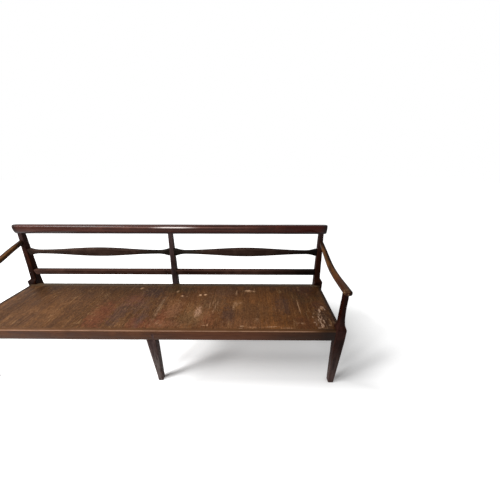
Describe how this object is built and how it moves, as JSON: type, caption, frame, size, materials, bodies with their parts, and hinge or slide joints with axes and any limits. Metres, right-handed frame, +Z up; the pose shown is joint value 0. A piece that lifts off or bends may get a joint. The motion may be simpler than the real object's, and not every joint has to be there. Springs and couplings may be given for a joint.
{
  "type": "deacons bench",
  "caption": "Long dark wooden deacon's bench with an open back, curved arms, a boarded seat and six tapered legs.",
  "frame": {"origin": "middle of the bench's footprint, on the floor", "axes": "+X along the bench, to the right as seen from the front; +Y from the front to the back; +Z up"},
  "size_m": [2.175, 0.5552, 0.8592],
  "materials": {
    "dark_wood": "worn dark stain and old wax",
    "crest_wood": "red-brown stain, polished by hands",
    "rail_wood": "worn brown stain",
    "shaded_wood": "dark stain",
    "arm_wood": "brown stain worn to the wood",
    "board_wood": "worn, scratched brown boards",
    "bare_wood": "unfinished",
    "iron": "dull"
  },
  "bodies": {
    "root": {"arm_left": "arm_wood", "arm_right": "arm_wood", "back_block_rail_screw_left": "iron", "back_block_rail_screw_right": "iron", "back_block_side_screw_left": "iron", "back_block_side_screw_right": "iron", "back_board_cleat_left": "bare_wood", "back_board_cleat_right": "bare_wood", "back_corner_block_left": "bare_wood", "back_corner_block_right": "bare_wood", "back_post_left": "dark_wood", "back_post_right": "dark_wood", "back_seat_rail": "rail_wood", "back_side_rail_peg_left": "dark_wood", "back_side_rail_peg_right": "dark_wood", "centre_back_post": "dark_wood", "centre_cross_rail": "bare_wood", "centre_front_leg": "dark_wood", "centre_leg_peg_1": "dark_wood", "centre_leg_peg_2": "dark_wood", "centre_post_screw_1": "iron", "centre_post_screw_2": "iron", "crest_peg_left": "crest_wood", "crest_peg_middle": "crest_wood", "crest_peg_right": "crest_wood", "crest_rail": "crest_wood", "front_block_rail_screw_left": "iron", "front_block_rail_screw_right": "iron", "front_block_side_screw_left": "iron", "front_block_side_screw_right": "iron", "front_corner_block_left": "bare_wood", "front_corner_block_right": "bare_wood", "front_leg_left": "dark_wood", "front_leg_right": "dark_wood", "front_seat_rail": "rail_wood", "front_side_rail_peg_left": "dark_wood", "front_side_rail_peg_right": "dark_wood", "lower_back_rail_left": "shaded_wood", "lower_back_rail_right": "shaded_wood", "lozenge_rail_left": "shaded_wood", "lozenge_rail_right": "shaded_wood", "seat_board_01": "board_wood", "seat_board_02": "board_wood", "seat_board_03": "board_wood", "seat_board_04": "board_wood", "seat_board_05": "board_wood", "seat_board_06": "board_wood", "seat_board_07": "board_wood", "seat_board_08": "board_wood", "seat_board_09": "board_wood", "seat_board_10": "board_wood", "seat_board_11": "board_wood", "seat_board_12": "board_wood", "seat_board_13": "board_wood", "seat_board_14": "board_wood", "side_seat_rail_left": "rail_wood", "side_seat_rail_right": "rail_wood"}
  },
  "joints": []
}
